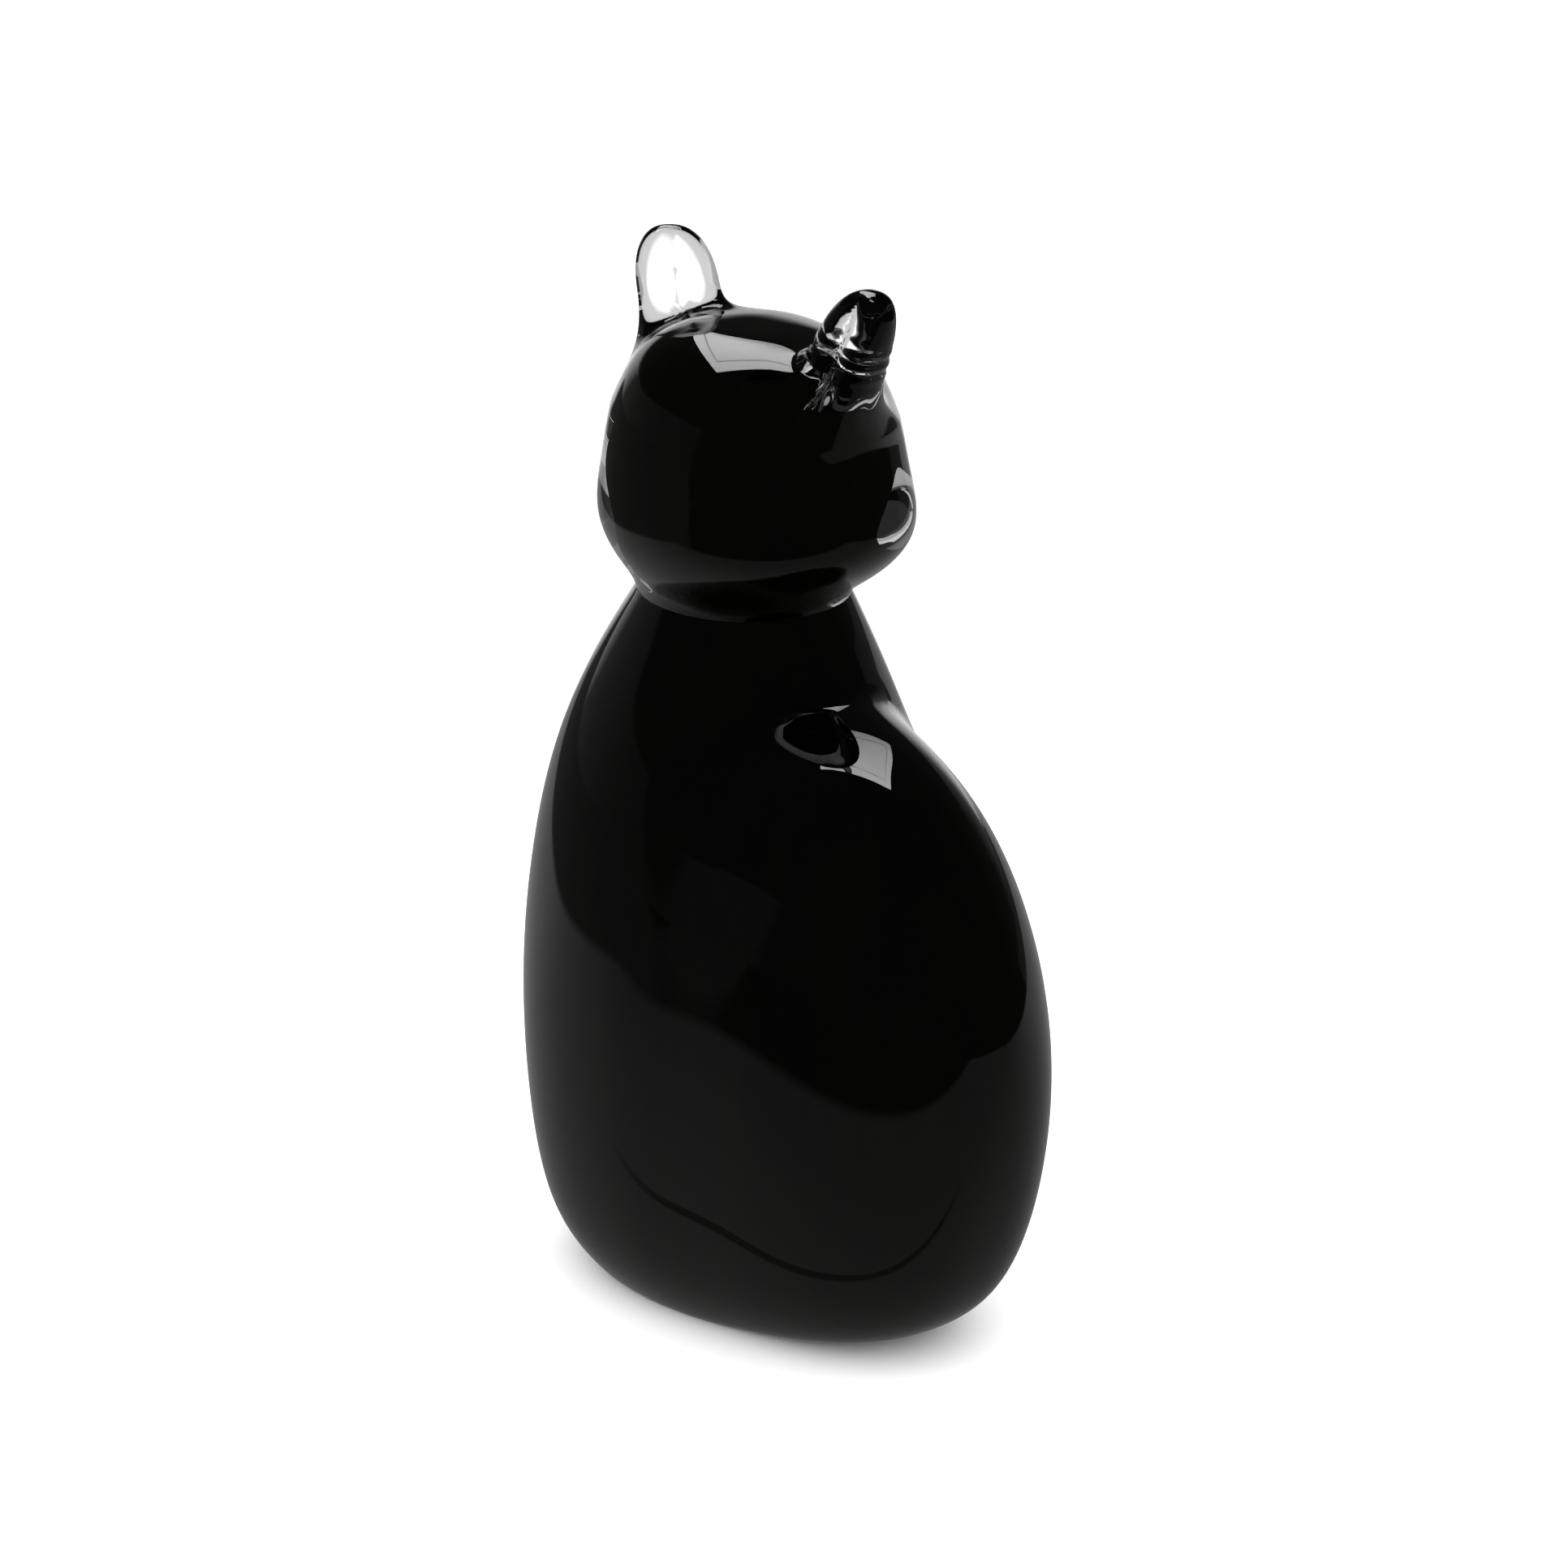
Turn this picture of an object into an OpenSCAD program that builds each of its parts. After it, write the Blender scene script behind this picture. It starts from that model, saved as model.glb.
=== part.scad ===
// Seated cat in cased glass: a near-black core in a clear casing, with clear pinched ears.
// X runs along the broad side of the figure, from the chest (-X) to the haunch (+X).
// Y is its thickness and Z is up. The origin is on the ground face of the base, under the neck.

/* [Body] */
// Height of the jacked-in neck above the base
neck_z = 128; // [110:1:155]
// Height at which the body is widest
belly_z = 55; // [40:1:66]
// Reach of the chest from the neck axis, at the belly
chest_x = 42.5; // [34:0.5:52]
// Reach of the torso's back from the neck axis, inside the haunch
back_x = 33.5; // [26:0.5:40]
// Reach of the haunch from the neck axis
haunch_x = 70; // [56:0.5:86]
// Half of the body's greatest thickness
body_y = 36; // [29:0.5:44]
// Height at which the haunch dies into the torso
haunch_top_z = 114; // [94:0.5:125]
// Height at which the haunch starts to draw in
haunch_turn_z = 31.5; // [20:0.5:40]

/* [Base] */
// Reach of the ground face towards the chest
foot_chest_x = 30; // [24:0.5:36]
// Reach of the ground face towards the haunch
foot_haunch_x = 39; // [30:0.5:50]
// Half of the ground face's depth
foot_y = 23.5; // [18:0.5:28]

/* [Neck] */
// Half of the neck's width
neck_x = 19.3; // [15:0.1:24]
// Half of the neck's depth
neck_y = 18; // [14:0.1:22]

/* [Head] */
// Height of the crown above the neck
head_h = 48.3; // [40:0.1:60]
// Half of the head's width at the cheeks
cheek_x = 29.4; // [26:0.1:36]
// Half of the head's depth at the cheeks
cheek_y = 25; // [22:0.1:31]
// Half of the head's width below the crown
crown_x = 26; // [21:0.1:31]
// Half of the head's depth below the crown
crown_y = 23.7; // [20:0.1:28]
// Offset of the head from the neck axis, towards the haunch
head_shift = 4; // [0:0.1:6]

/* [Ears] */
// Height of the ear tips above the crown
ear_rise = 12.9; // [9:0.1:18]
// Half of the distance between the two ear tips
ear_spread = 27.9; // [24:0.1:34]
// How far an ear leans outwards from root to tip
ear_lean = 6.3; // [2:0.1:8]
// How deep the root of an ear is sunk in the casing, below the crown
ear_sink = 9.5; // [8:0.1:12]
// Half of an ear's width
ear_x = 7.2; // [6:0.1:9]
// Half of an ear's depth
ear_y = 8; // [6:0.1:9]
// Depth of the crease pinched into the front of each ear, as a share of its radius
ear_crease = 0.4; // [0.2:0.01:0.6]

/* [Casing] */
// Clear glass over the core in the body
body_wall = 4.5; // [2.5:0.1:8]
// Clear glass over the core in the neck
neck_wall = 7; // [4:0.1:9]
// Clear glass under the core, above the ground face
base_wall = 6; // [3:0.1:10]
// Clear glass over the core at the cheeks, where it is thickest
cheek_wall = 13.5; // [8:0.1:16]
// Clear glass over the core at the temples, between cheeks and crown
temple_wall = 9.5; // [6:0.1:12]
// Clear glass over the core at the sides of the crown
crown_wall = 9; // [7:0.1:11]
// Clear glass over the core on top of the crown
top_wall = 8; // [6:0.1:11]

/* [Hidden] */

SIDES = 52;          // points round one ring
BODY_CROWDING = 0.65; // 1 would space the points by equal angles
EAR_SIDES = 36;       // and round an ear
BODY_RINGS = 30;
HEAD_RINGS = 24;
EAR_RINGS = 14;
SQUARENESS = 2.1;    // exponent of the sections: 2 is an ellipse
BLEND = 11;          // how sharply the haunch meets the torso: higher is a tighter crease
LOBE_SQUARENESS = 2.3; // the same for the haunch's lobe
HAUNCH_FALL = 2.6;   // exponent of the haunch's shoulder along X
HAUNCH_FALL_Y = 3.3; // and across it
LOBE_Y = 0.95;       // depth of the haunch's lobe, as a share of the torso's
LOBE_BACK = 0.85;    // how far the lobe reaches back inside the torso, as the same share
DOME = 3;            // exponent of the crown: higher is flatter on top
DOME_START = 0.455;  // share of the head's height at which the crown starts to close
NECK_SHIFT = -0.75;  // the neck's own offset from the axis
EAR_SHIFT = 0.8;     // offset of the pair of ears from the head, towards the haunch
CREASE_AT = 315;     // direction that the ears' creases face
CREASE_WIDTH = 20;   // and their half width, in degrees

// From ground face to belly: [share of belly_z, then shares of the way from foot to belly size
// for chest, back, haunch and depth]
FOOT_FORM = [[0, 0, 0, 0, 0], [0.055, 0.42, 0.42, 0.32, 0.22], [0.22, 0.8, 0.8, 0.66, 0.61],
             [0.55, 0.98, 0.98, 0.9, 0.9], [1, 1, 1, 1, 1]];
// From belly to neck: [share of the height, then shares of the way back from neck to belly size
// for chest, back, haunch and depth]
TORSO_FORM = [[0.34, 0.87, 0.83, 1, 0.92], [0.62, 0.64, 0.42, 1, 0.7], [0.84, 0.33, 0.2, 1, 0.32],
              [1, 0, 0, 0, 0]];
// Head: [share of its height, share of the way from neck to cheek, then from cheek to crown, and
// the place of its wall among neck, cheek, temple and crown]
HEAD_FORM = [[0, 0, 0, 0], [0.04, 0.1, 0, 0.35], [0.135, 0.52, 0, 0.95], [0.29, 1, 0, 1],
             [0.5, 1, 0.1, 1.9], [0.7, 1, 0.6, 2.3], [1, 1, 1, 3]];

// Ear: [share of its height, share of its lean, share of its size]
EAR_FORM = [[0, 0, 0.3], [0.06, 0.03, 0.62], [0.2, 0.12, 0.9], [0.4, 0.28, 1], [0.6, 0.48, 0.97],
            [0.78, 0.7, 0.8], [0.92, 0.9, 0.5], [1, 1, 0.1]];

crown_z = neck_z + head_h;
ear_root_z = crown_z - ear_sink;
ear_tip_z = crown_z + ear_rise;
ear_mid_x = head_shift + EAR_SHIFT;  // middle between the ear tips

function mix(a, b, k) = a + (b - a) * k;

// Catmull-Rom spline through the rows of P, at u from 0 to len(P) - 1
function spline(P, u) =
    let (last = len(P) - 1, i = min(floor(u), last - 1), t = u - i,
         a = P[i], b = P[i + 1],
         before = i > 0 ? P[i - 1] : 2 * a - b,
         after = i + 2 <= last ? P[i + 2] : 2 * b - a)
    0.5 * (2 * a + (b - before) * t + (2 * before - 5 * a + 4 * b - after) * t * t
           + (3 * a - before - 3 * b + after) * t * t * t);

// Polar radius of a rounded section that reaches x_plus, x_minus and y from its axis
function section(t, x_plus, x_minus, y, power = SQUARENESS) =
    let (x = cos(t) >= 0 ? x_plus : x_minus)
    pow(pow(abs(cos(t)) / x, power) + pow(abs(sin(t)) / y, power), -1 / power);

// Direction of point i of n round a ring, with more of them where a long section turns tightly
function direction(i, n, crowding) = atan2(crowding * sin(360 * i / n), cos(360 * i / n));

// Share that closes a form towards k = 1, along a squared-off quarter round
function closing(k, power) = pow(max(0, 1 - pow(max(0, k), power)), 1 / power);

// ---- body: rows of [z, chest, back, haunch, depth, wall] ----
foot_size = [foot_chest_x, foot_chest_x, foot_haunch_x, foot_y];
belly_size = [chest_x, back_x, haunch_x, body_y];
throat_size = [neck_x - NECK_SHIFT, neck_x + NECK_SHIFT, haunch_x, neck_y];
body_rows = concat(
    [for (f = FOOT_FORM) [f[0] * belly_z,
        for (i = [0:3]) mix(foot_size[i], belly_size[i], f[i + 1]), body_wall]],
    [for (f = TORSO_FORM) [mix(belly_z, neck_z, f[0]),
        for (i = [0:3]) mix(throat_size[i], belly_size[i], f[i + 1]),
        mix(body_wall, neck_wall, f[0])]]);

// The torso and the haunch's lobe, blended so that a soft crease is left between them
function body_radius(row, t) =
    let (rise = (row[0] - haunch_turn_z) / (haunch_top_z - haunch_turn_z),
         fall_x = max(0.02, closing(rise, HAUNCH_FALL)),
         fall_y = max(0.02, closing(rise, HAUNCH_FALL_Y)),
         torso = section(t, row[2], row[1], row[4], SQUARENESS),
         haunch = section(t, fall_x * row[3], LOBE_BACK * fall_y * row[4],
                          LOBE_Y * fall_y * row[4], LOBE_SQUARENESS))
    pow(pow(torso, BLEND) + pow(haunch, BLEND), 1 / BLEND);

function body_ring(u, inside) =
    let (row = spline(body_rows, u), wall = inside ? row[5] : 0,
         z = inside ? mix(base_wall, neck_z, row[0] / neck_z) : row[0])
    [for (i = [0:SIDES - 1]) let (t = direction(i, SIDES, BODY_CROWDING),
            r = body_radius(row, t) - wall)
        [r * cos(t), r * sin(t), z]];

function body_rings(inside) =
    [for (j = [0:BODY_RINGS]) body_ring(j / BODY_RINGS * (len(body_rows) - 1), inside)];

// ---- head: rows of [height above the neck, x minus, x plus, depth, wall] ----
neck_size = [neck_x - NECK_SHIFT, neck_x + NECK_SHIFT, neck_y];
cheek_size = [cheek_x - head_shift, cheek_x + head_shift, cheek_y];
crown_size = [crown_x - head_shift, crown_x + head_shift, crown_y];
head_walls = [[0, neck_wall], [1, cheek_wall], [2, temple_wall], [3, crown_wall]];
head_rows = [for (f = HEAD_FORM) concat(
    [f[0] * head_h],
    neck_size + (cheek_size - neck_size) * f[1] + (crown_size - cheek_size) * f[2],
    [lookup(f[3], head_walls)])];

// k runs from 0 at the neck to 1 at the crown; rings crowd together where the crown closes
function head_level(k) = sin(90 * k);
// The spline's parameter at a share of the head's height
function head_param(share, i = 0) =
    i >= len(HEAD_FORM) - 2 || share <= HEAD_FORM[i + 1][0]
        ? i + (share - HEAD_FORM[i][0]) / (HEAD_FORM[i + 1][0] - HEAD_FORM[i][0])
        : head_param(share, i + 1);

function head_ring(k, inside) =
    let (share = min(0.9995, head_level(k)),
         row = spline(head_rows, head_param(share)),
         round_off = closing((share - DOME_START) / (1 - DOME_START), DOME),
         wall = inside ? row[4] : 0,
         z = neck_z + share * (inside ? head_h - top_wall : head_h))
    [for (i = [0:SIDES - 1]) let (t = 360 * i / SIDES,
            r = round_off * (section(t, row[2], row[1], row[3]) - wall))
        [r * cos(t), r * sin(t), z]];

function head_rings(inside) = [for (j = [0:HEAD_RINGS]) head_ring(j / HEAD_RINGS, inside)];

// ---- ears ----

function ear_ring(side, u) =
    let (row = spline(EAR_FORM, u),
         x = ear_mid_x + side * (ear_spread - ear_lean * (1 - row[1])),
         z = mix(ear_root_z, ear_tip_z, row[0]),
         groove = ear_crease * sin(180 * pow(row[0], 1.3)))
    [for (i = [0:EAR_SIDES - 1]) let (t = 360 * i / EAR_SIDES,
            off = (t - CREASE_AT) / CREASE_WIDTH,
            r = row[2] * (1 - groove * exp(-off * off)) * section(t, ear_x, ear_x, ear_y))
        [x + r * cos(t), r * sin(t), z]];

function reversed(list) = [for (i = [len(list) - 1:-1:0]) list[i]];

// Closed solid through rings of equal length, with a flat face at each end. Each patch is split
// the same way whether the rings run up or down, so a core and its cavity match.
module skin(rings) {
    n = len(rings[0]);
    m = len(rings);
    polyhedron(
        points = [for (ring = rings) each ring],
        faces = concat(
            [[for (i = [0:n - 1]) i]],
            [[for (i = [n - 1:-1:0]) (m - 1) * n + i]],
            [for (j = [0:m - 2], i = [0:n - 1])
                let (a = j * n + i, b = a + n, next = (i + 1) % n - i, c = b + next, d = a + next)
                each rings[j + 1][0][2] >= rings[j][0][2] ? [[a, b, c], [a, c, d]]
                                                          : [[a, b, d], [b, c, d]]]),
        convexity = 6);
}

module body_core() { color("#0c0f0a") skin(body_rings(true)); }

module body_casing() {
    color("#dfe8e6", 0.5) skin(concat(body_rings(false), reversed(body_rings(true))));
}

module head_core() { color("#0c0f0a") skin(head_rings(true)); }

module head_casing() {
    color("#dfe8e6", 0.5) difference() {
        skin(concat(reversed(head_rings(true)), head_rings(false)));
        ear(-1);
        ear(1);
    }
}

module ear(side) {
    skin([for (j = [0:EAR_RINGS]) ear_ring(side, j / EAR_RINGS * (len(EAR_FORM) - 1))]);
}

module ear_left() { color("#eef4f3", 0.5) ear(-1); }

module ear_right() { color("#eef4f3", 0.5) ear(1); }

body_core();
body_casing();
head_core();
head_casing();
ear_left();
ear_right();
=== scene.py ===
"""Seated cat in cased glass: a near-black core gathered inside clear glass, with clear ears."""

import math

import bmesh
import bpy
import numpy as np
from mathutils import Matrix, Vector


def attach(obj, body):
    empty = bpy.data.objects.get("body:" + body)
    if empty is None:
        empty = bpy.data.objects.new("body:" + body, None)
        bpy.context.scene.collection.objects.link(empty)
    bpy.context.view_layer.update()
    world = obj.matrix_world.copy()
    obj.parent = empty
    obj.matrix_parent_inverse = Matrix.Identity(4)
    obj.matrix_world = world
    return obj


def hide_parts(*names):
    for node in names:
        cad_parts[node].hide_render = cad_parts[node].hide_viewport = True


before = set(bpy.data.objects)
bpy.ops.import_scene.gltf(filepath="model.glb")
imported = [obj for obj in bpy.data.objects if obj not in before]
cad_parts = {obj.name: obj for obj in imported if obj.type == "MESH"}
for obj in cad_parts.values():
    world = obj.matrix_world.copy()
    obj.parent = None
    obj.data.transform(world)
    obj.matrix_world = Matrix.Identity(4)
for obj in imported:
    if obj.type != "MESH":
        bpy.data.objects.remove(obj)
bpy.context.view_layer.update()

MM = 0.001

# ---------------------------------------------------------------- sizes, in millimetres
# X runs from the chest (-X) to the haunch (+X), Y is the thickness and Z is up, as in the frame.
NECK_Z = 128.0
BELLY_Z = 55.0
CHEST_X = 42.5
BACK_X = 33.5
HAUNCH_X = 70.0
BODY_Y = 36.0
HAUNCH_TOP_Z = 114.0
HAUNCH_TURN_Z = 31.5
FOOT_CHEST_X = 30.0
FOOT_HAUNCH_X = 39.0
FOOT_Y = 23.5
NECK_X = 19.3
NECK_Y = 18.0
NECK_SHIFT = -0.75
HEAD_H = 48.3
CHEEK_X = 29.4
CHEEK_Y = 25.0
CROWN_X = 26.0
CROWN_Y = 23.7
HEAD_SHIFT = 4.0
BODY_WALL = 4.5
NECK_WALL = 7.0
BASE_WALL = 6.0
CHEEK_WALL = 13.5
TEMPLE_WALL = 9.5
CROWN_WALL = 9.0
CORE_OVERLAP = 0.05  # the core stands this proud of its cavity, as fused glass has no gap

SQUARENESS = 2.1  # exponent of the sections: 2 is an ellipse
LOBE_SQUARENESS = 2.3  # the same for the haunch's lobe
BLEND = 11.0  # how sharply the haunch meets the torso
HAUNCH_FALL = 2.6  # exponent of the haunch's shoulder along X
HAUNCH_FALL_Y = 3.3  # and across it
LOBE_Y = 0.95  # depth of the haunch's lobe, as a share of the torso's
LOBE_BACK = 0.85  # how far the lobe reaches back inside the torso, as the same share
LOBE_END = 0.02  # share at which the lobe stops shrinking, deep inside the torso
DOME = 3.0  # exponent of the crown: higher is flatter on top
DOME_START = 0.455  # share of the head's height at which the crown starts to close
CROWN_END = 0.9995  # share at which the last ring stands, so that it can be capped

BODY_SIDES = 160
BODY_CROWDING = 0.65  # gathers a ring's points where a long section turns tightly
BODY_RINGS = 110
CORE_RINGS = 60
HEAD_SIDES = 96
HEAD_CORE_RINGS = 48

# share of the height, then shares of the way to the belly size for chest, back, haunch, depth
FOOT_FORM = (
    (0, 0, 0, 0, 0),
    (0.055, 0.42, 0.42, 0.32, 0.22),
    (0.22, 0.8, 0.8, 0.66, 0.61),
    (0.55, 0.98, 0.98, 0.9, 0.9),
    (1, 1, 1, 1, 1),
)
TORSO_FORM = (
    (0.34, 0.87, 0.83, 1, 0.92),
    (0.62, 0.64, 0.42, 1, 0.7),
    (0.84, 0.33, 0.2, 1, 0.32),
    (1, 0, 0, 0, 0),
)
# share of the head's height, share of the way from neck to cheek, then from cheek to crown,
# and the place of its wall among neck, cheek, temple and crown
HEAD_FORM = (
    (0, 0, 0, 0),
    (0.04, 0.1, 0, 0.35),
    (0.135, 0.52, 0, 0.95),
    (0.29, 1, 0, 1.3),
    (0.5, 1, 0.3, 1.9),
    (0.7, 1, 0.9, 2.3),
    (1, 1, 1, 3),
)

# ---------------------------------------------------------------- curves and sections


def smooth_curve(knots, values):
    """Natural cubic spline through the values, so that reflections run over it unbroken."""
    knots, values = np.asarray(knots, float), np.asarray(values, float)
    n, gap = len(knots), np.diff(knots)
    lhs, rhs = np.eye(n), np.zeros_like(values)
    for i in range(1, n - 1):
        lhs[i, i - 1 : i + 2] = gap[i - 1], 2 * (gap[i - 1] + gap[i]), gap[i]
        rhs[i] = 6 * (
            (values[i + 1] - values[i]) / gap[i] - (values[i] - values[i - 1]) / gap[i - 1]
        )
    bend = np.linalg.solve(lhs, rhs)

    def at(x):
        x = np.asarray(x, float)
        i = np.clip(np.searchsorted(knots, x) - 1, 0, n - 2)
        h = gap[i][..., None]
        a = (knots[i + 1] - x)[..., None] / h
        b = 1 - a
        return (
            a * values[i]
            + b * values[i + 1]
            + ((a**3 - a) * bend[i] + (b**3 - b) * bend[i + 1]) * h**2 / 6
        )

    return at


def section(t, x_plus, x_minus, y, power=SQUARENESS):
    """Polar radius of a rounded section that reaches x_plus, x_minus and y from its axis."""
    x = np.where(np.cos(t) >= 0, x_plus, x_minus)
    return ((np.abs(np.cos(t)) / x) ** power + (np.abs(np.sin(t)) / y) ** power) ** (-1 / power)


def closing(k, power):
    """Share that closes a form towards k = 1, along a squared-off quarter round."""
    return np.maximum(0, 1 - np.maximum(0, k) ** power) ** (1 / power)


# ---------------------------------------------------------------- body form
# rows of z, then reach at the chest, back, haunch and side, then the casing's wall

FOOT = np.array([FOOT_CHEST_X, FOOT_CHEST_X, FOOT_HAUNCH_X, FOOT_Y])
BELLY = np.array([CHEST_X, BACK_X, HAUNCH_X, BODY_Y])
THROAT = np.array([NECK_X - NECK_SHIFT, NECK_X + NECK_SHIFT, HAUNCH_X, NECK_Y])

body_rows = [
    [f[0] * BELLY_Z, *(FOOT + (BELLY - FOOT) * np.array(f[1:])), BODY_WALL] for f in FOOT_FORM
] + [
    [
        BELLY_Z + (NECK_Z - BELLY_Z) * f[0],
        *(THROAT + (BELLY - THROAT) * np.array(f[1:])),
        BODY_WALL + (NECK_WALL - BODY_WALL) * f[0],
    ]
    for f in TORSO_FORM
]
body_form = smooth_curve(range(len(body_rows)), body_rows)


def body_ring(u, inside):
    """Torso and haunch, blended so that a soft crease is left between them."""
    row = body_form(u)
    i = np.arange(BODY_SIDES)
    t = np.arctan2(
        BODY_CROWDING * np.sin(2 * math.pi * i / BODY_SIDES), np.cos(2 * math.pi * i / BODY_SIDES)
    )
    rise = (row[0] - HAUNCH_TURN_Z) / (HAUNCH_TOP_Z - HAUNCH_TURN_Z)
    fall_x = max(LOBE_END, float(closing(rise, HAUNCH_FALL)))
    fall_y = max(LOBE_END, float(closing(rise, HAUNCH_FALL_Y)))
    torso = section(t, row[2], row[1], row[4])
    lobe = section(
        t,
        fall_x * row[3],
        LOBE_BACK * fall_y * row[4],
        LOBE_Y * fall_y * row[4],
        LOBE_SQUARENESS,
    )
    r = (torso**BLEND + lobe**BLEND) ** (1 / BLEND) - (row[5] if inside else 0)
    z = BASE_WALL + (NECK_Z - BASE_WALL) * row[0] / NECK_Z if inside else row[0]
    return np.stack([r * np.cos(t), r * np.sin(t), np.full_like(t, z)], axis=1)


def body_rings(count, inside):
    last = len(body_rows) - 1
    return [body_ring(j / count * last, inside) for j in range(count + 1)]


# ---------------------------------------------------------------- head form

NECK = np.array([NECK_X - NECK_SHIFT, NECK_X + NECK_SHIFT, NECK_Y])
CHEEK = np.array([CHEEK_X - HEAD_SHIFT, CHEEK_X + HEAD_SHIFT, CHEEK_Y])
CROWN = np.array([CROWN_X - HEAD_SHIFT, CROWN_X + HEAD_SHIFT, CROWN_Y])
HEAD_WALLS = (NECK_WALL, CHEEK_WALL, TEMPLE_WALL, CROWN_WALL)
head_shares = [f[0] for f in HEAD_FORM]
head_rows = [
    [
        *(NECK + (CHEEK - NECK) * f[1] + (CROWN - CHEEK) * f[2]),
        np.interp(f[3], range(len(HEAD_WALLS)), HEAD_WALLS),
    ]
    for f in HEAD_FORM
]
head_form = smooth_curve(head_shares, head_rows)
CORE_LEAN = 1.5  # the core sits this far out of the middle, so one cheek is thicker
CORE_LEAN_FROM = 0.2  # share of the height over which the core comes to lean
CORE_TOP_WALL = 6.5
CORE_DOME = 3.6
NECK_RUN = -0.06  # how far the head's form runs on below the neck's joint, as a share


def head_ring(share, inside):
    row = head_form(max(share, NECK_RUN))
    t = 2 * math.pi * np.arange(HEAD_SIDES) / HEAD_SIDES
    wall, dome, height = 0, DOME, HEAD_H
    if inside:
        wall = row[3] + CORE_LEAN * min(1, share / CORE_LEAN_FROM) * np.cos(t)
        dome, height = CORE_DOME, HEAD_H - CORE_TOP_WALL
    round_off = float(closing((share - DOME_START) / (1 - DOME_START), dome))
    r = round_off * (section(t, row[1], row[0], row[2]) - wall)
    z = NECK_Z + share * height
    return np.stack([r * np.cos(t), r * np.sin(t), np.full_like(t, z)], axis=1)


def head_rings(inside):
    """Rings from the neck to the crown, crowded together where the crown closes."""
    quarter_turns = np.linspace(0, math.pi / 2, HEAD_CORE_RINGS + 1)
    return [head_ring(min(CROWN_END, math.sin(turn)), inside) for turn in quarter_turns]


def norm(a, b, power):
    return (np.abs(a) ** power + np.abs(b) ** power) ** (1 / power)


def head_field(p):
    """Below 0 inside the head, and roughly the distance in mm outside it."""
    share = (p[:, 2] - NECK_Z) / HEAD_H
    row = head_form(np.clip(share, NECK_RUN, 1))
    wide = np.where(p[:, 0] >= 0, row[:, 1], row[:, 0])
    across = norm(p[:, 0] / wide, p[:, 1] / row[:, 2], SQUARENESS)
    dome = np.maximum(0, (share - DOME_START) / (1 - DOME_START))
    return CHEEK_Y * (norm(across, dome, DOME) - 1)


# Each ear is a bit pinched flat: root and tip on its axis, half width and half depth, how much
# wider and deeper it gets down to its root, the way its broad face is turned, where its tip starts
# to close and how squarely, where across the face its crease runs, and how deep its rings are.
EARS = {
    "ear_left": dict(
        root=(-15.6, 0.0, 166.0),
        tip=(-21.5, 0.6, 188.7),
        wide=7.3,
        deep=4.0,
        spread=(0.34, 0.8),
        turn=math.radians(48),
        round=0.5,
        square=2.4,
        crease=0.9,
        rings=0.0,
    ),
    "ear_right": dict(
        root=(23.0, 0.0, 166.0),
        tip=(32.2, 1.2, 188.7),
        wide=7.5,
        deep=5.4,
        spread=(0.08, 0.6),
        turn=math.radians(4),
        round=0.3,
        square=2.6,
        crease=0.0,
        rings=0.022,
    ),
}
EAR_SECTION = 2.5  # exponent of an ear's section
EAR_BURIED = 0.6  # the share of its height by which an ear runs on inside the head
EAR_AXIS = (-0.3, 1.2)  # shares between which the axis leans; past them it is upright
SPREAD_TO = 0.5  # share of the height up to which the root's spread is felt
SPREAD_MOST = 1.4
PRESS_TOP = (1.02, 0.3)  # share at which the pressed hollow dies out, and over how much of it
PRESS_EDGE = 2.0  # and over how many mm in front of the ear's middle it comes in
RING_PITCH = 2.4
RING_SLANT = 0.3
RING_PLACE = (0.42, 0.12)  # where up the ear the rings are, and how far they reach
CUP = (0.22, 3.0)  # the hollow pressed into an ear's front: share of the depth, half width
CREASE = (0.36, 0.8)  # and the sharp crease at the bottom of the hollow
EAR_FLARE = 6.0  # how far up the ear the casing is drawn out to meet it


def ear_field(p, ear):
    """Below 0 inside an ear: its section, pressed hollow and creased in front, closed by a dome."""
    root, tip = np.array(ear["root"]), np.array(ear["tip"])
    rise = (p[:, 2] - root[2]) / (tip[2] - root[2])
    centre = root[:2] + (tip - root)[:2] * np.clip(rise, *EAR_AXIS)[:, None]
    q = p[:, :2] - centre
    turn = ear["turn"]
    over = q[:, 0] * math.cos(turn) + q[:, 1] * math.sin(turn)
    front = q[:, 0] * math.sin(turn) - q[:, 1] * math.cos(turn)
    off = over - ear["crease"]
    fade = np.clip((PRESS_TOP[0] - rise) / PRESS_TOP[1], 0, 1) * np.clip(front / PRESS_EDGE, 0, 1)
    cup = CUP[0] * np.exp(-((off / CUP[1]) ** 2))
    crease = CREASE[0] * np.exp(-np.abs(off) / CREASE[1])
    press = 1 - fade * (cup + crease)
    low = np.clip(1 - rise / SPREAD_TO, 0, SPREAD_MOST) ** 2
    rings = ear["rings"] * np.exp(-(((rise - RING_PLACE[0]) / RING_PLACE[1]) ** 2))
    rings *= np.cos(2 * math.pi * (p[:, 2] + RING_SLANT * over) / RING_PITCH)
    wide = ear["wide"] * (1 + ear["spread"][0] * low + rings)
    deep = ear["deep"] * (1 + ear["spread"][1] * low + rings) * press
    across = norm(over / wide, front / deep, EAR_SECTION)
    dome = np.maximum((rise - ear["round"]) / (1 - ear["round"]), -rise / EAR_BURIED).clip(0)
    return ear["deep"] * (norm(across, dome, ear["square"]) - 1)


def blend(a, b, reach):
    """The lower of two fields, run together smoothly where they come within reach."""
    h = np.maximum(reach - np.abs(a - b), 0) / reach
    return np.minimum(a, b) - h**3 * reach / 6


def cat_head(p):
    field = head_field(p)
    for ear in EARS.values():
        field = blend(field, ear_field(p, ear), EAR_FLARE)
    return field


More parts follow.
